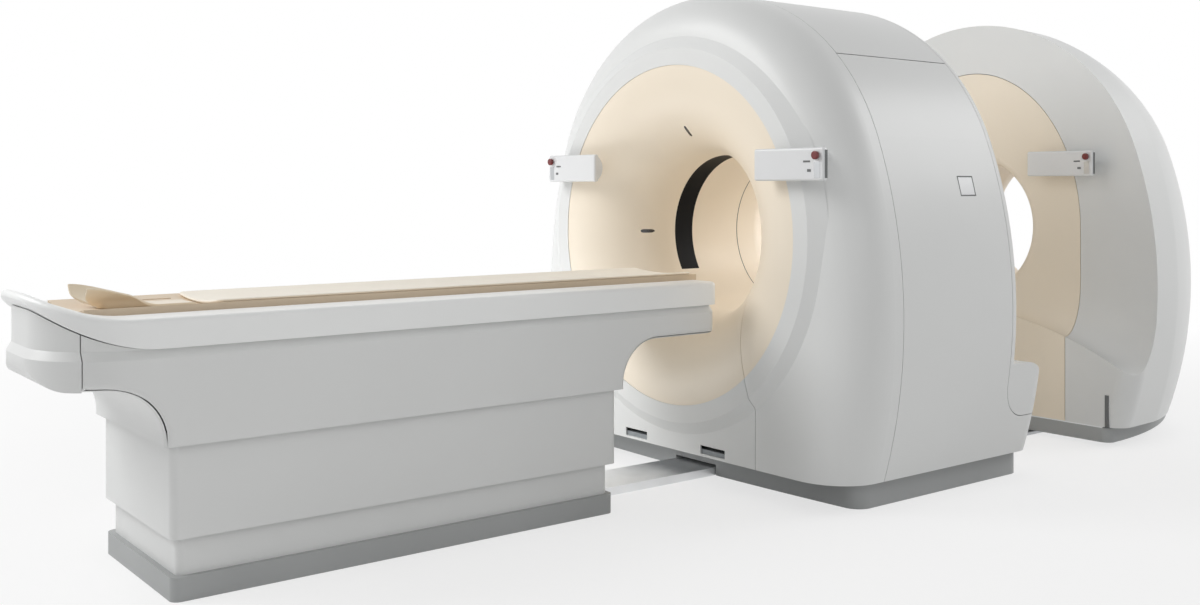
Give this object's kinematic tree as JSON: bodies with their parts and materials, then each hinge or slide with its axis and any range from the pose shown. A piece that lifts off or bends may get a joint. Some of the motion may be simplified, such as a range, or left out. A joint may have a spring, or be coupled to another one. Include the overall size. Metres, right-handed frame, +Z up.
{
  "type": "pet-ct scanner",
  "caption": "Whole-body PET-CT scanner: round-fronted CT gantry with a flared cream bore, a PET gantry on floor rails behind it, and a lifting couch with a sliding pallet.",
  "frame": {"origin": "on the floor straight below the CT isocentre, on the underside of the CT base frame", "axes": "+Z up, +Y along the bore from the couch to the PET gantry, +X to the right seen from the couch"},
  "size_m": [2.094, 5.835, 2.1191],
  "materials": {
    "white_cover": "satin moulded cover",
    "cream_cover": "satin moulded cover, warm cream",
    "grey_plinth": "satin grey paint",
    "steel": "grey machine paint",
    "bright_steel": "machined",
    "aluminium": "plain",
    "dark_window": "dark X-ray window film",
    "laser_glass": "dark laser window",
    "panel_grey": "smooth light panel",
    "red_button": "dark red",
    "pallet_shell": "satin composite",
    "pad_cover": "soft cream upholstery",
    "holder_shell": "satin",
    "rubber": "matt grey",
    "detector": "module housing"
  },
  "bodies": {
    "base": {"ct_base_frame": "steel", "ct_plinth": "grey_plinth", "ct_front_cover": "white_cover", "ct_lower_front_panel": "white_cover", "ct_front_funnel": "cream_cover", "ct_lower_funnel": "cream_cover", "ct_top_cover": "white_cover", "ct_side_panel_right": "white_cover", "ct_side_panel_left": "white_cover", "ct_rear_cover": "white_cover", "ct_rear_funnel": "cream_cover", "xray_window": "dark_window", "ct_bore_liner": "cream_cover", "ct_stator_bulkhead": "aluminium", "ct_bearing_outer": "bright_steel", "ct_ring_motor": "steel", "ct_panel_right": "panel_grey", "ct_panel_left": "panel_grey", "laser_windows": "laser_glass", "floor_link_plate": "aluminium", "floor_rails": "bright_steel", "couch_plinth": "grey_plinth", "couch_lower_cover": "white_cover", "lift_column_outer": "bright_steel"},
    "ct_rotor": {"rotor_drum": "aluminium", "xray_tube": "steel", "collimator": "bright_steel", "detector_arc": "steel", "hv_generators": "aluminium", "slip_ring": "bright_steel"},
    "couch_middle": {"couch_middle_cover": "white_cover", "lift_column_middle": "bright_steel"},
    "couch_top": {"couch_upper_shell": "white_cover", "couch_rim": "white_cover", "couch_end_cap": "white_cover", "couch_nose": "detector", "couch_top_frame": "aluminium", "pallet_rails": "aluminium", "lift_column_inner": "bright_steel"},
    "pallet_body": {"pallet": "pallet_shell", "pallet_pad": "pad_cover", "head_holder": "holder_shell"},
    "pet_gantry": {"pet_base_frame": "aluminium", "pet_plinth": "grey_plinth", "pet_front_cover": "white_cover", "pet_cream_arch": "cream_cover", "pet_rear_cover": "white_cover", "pet_rear_funnel": "cream_cover", "pet_bore_tube": "cream_cover", "pet_detector_ring": "detector", "pet_bumpers": "rubber", "pet_panels": "panel_grey"},
    "pet_wheels_front": {"pet_front_wheelset": "bright_steel"},
    "pet_wheels_rear": {"pet_rear_wheelset": "bright_steel"},
    "ct_stop_right": {"ct_stop_button_right": "red_button"},
    "ct_stop_left": {"ct_stop_button_left": "red_button"},
    "pet_stop_right": {"pet_stop_button_right": "red_button"},
    "pet_stop_left": {"pet_stop_button_left": "red_button"},
    "latch_right": {"side_latch_right": "panel_grey"},
    "latch_left": {"side_latch_left": "panel_grey"}
  },
  "joints": [
    {"name": "ct_rotor_spin", "type": "hinge", "parent": "base", "child": "ct_rotor", "pos_m": [0, 0, 1.045], "axis": [0, 1, 0], "continuous": true},
    {"name": "couch_lift", "type": "slide", "parent": "base", "child": "couch_top", "axis": [0, 0, 1], "range_m": [-0.33, 0.03]},
    {"name": "couch_middle_lift", "type": "slide", "parent": "base", "child": "couch_middle", "axis": [0, 0, 1], "range_m": [-0.088, 0.0085]},
    {"name": "pallet_slide", "type": "slide", "parent": "couch_top", "child": "pallet_body", "axis": [0, 1, 0], "range_m": [0, 1.9]},
    {"name": "pet_slide", "type": "slide", "parent": "base", "child": "pet_gantry", "axis": [0, 1, 0], "range_m": [-0.74, 0.1]},
    {"name": "pet_front_wheels_roll", "type": "hinge", "parent": "pet_gantry", "child": "pet_wheels_front", "pos_m": [0, 1.8, 0.0443], "axis": [-1, 0, 0], "range_deg": [-1420, 195]},
    {"name": "pet_rear_wheels_roll", "type": "hinge", "parent": "pet_gantry", "child": "pet_wheels_rear", "pos_m": [0, 2.48, 0.0443], "axis": [-1, 0, 0], "range_deg": [-1420, 195]},
    {"name": "ct_stop_right_press", "type": "slide", "parent": "base", "child": "ct_stop_right", "axis": [0, 1, 0], "range_m": [0, 0.005], "stiffness_N_per_m": 600, "springref_m": -0.002},
    {"name": "ct_stop_left_press", "type": "slide", "parent": "base", "child": "ct_stop_left", "axis": [0, 1, 0], "range_m": [0, 0.005], "stiffness_N_per_m": 600, "springref_m": -0.002},
    {"name": "pet_stop_right_press", "type": "slide", "parent": "pet_gantry", "child": "pet_stop_right", "axis": [0, 1, 0], "range_m": [0, 0.005], "stiffness_N_per_m": 600, "springref_m": -0.002},
    {"name": "pet_stop_left_press", "type": "slide", "parent": "pet_gantry", "child": "pet_stop_left", "axis": [0, 1, 0], "range_m": [0, 0.005], "stiffness_N_per_m": 600, "springref_m": -0.002},
    {"name": "latch_right_swing", "type": "hinge", "parent": "base", "child": "latch_right", "pos_m": [0.97145, 0.361, 1.292], "axis": [0, -1, 0], "range_deg": [0, 40], "stiffness_Nm_per_rad": 0.4, "springref_deg": -11.46},
    {"name": "latch_left_swing", "type": "hinge", "parent": "base", "child": "latch_left", "pos_m": [-0.97145, 0.361, 1.292], "axis": [0, 1, 0], "range_deg": [0, 40], "stiffness_Nm_per_rad": 0.4, "springref_deg": -11.46}
  ],
  "couplings": [
    {"joint": "couch_middle_lift", "follows": "couch_lift", "ratio": 0.264},
    {"joint": "pet_front_wheels_roll", "follows": "pet_slide", "rad_per_m": 33.333},
    {"joint": "pet_rear_wheels_roll", "follows": "pet_slide", "rad_per_m": 33.333}
  ]
}
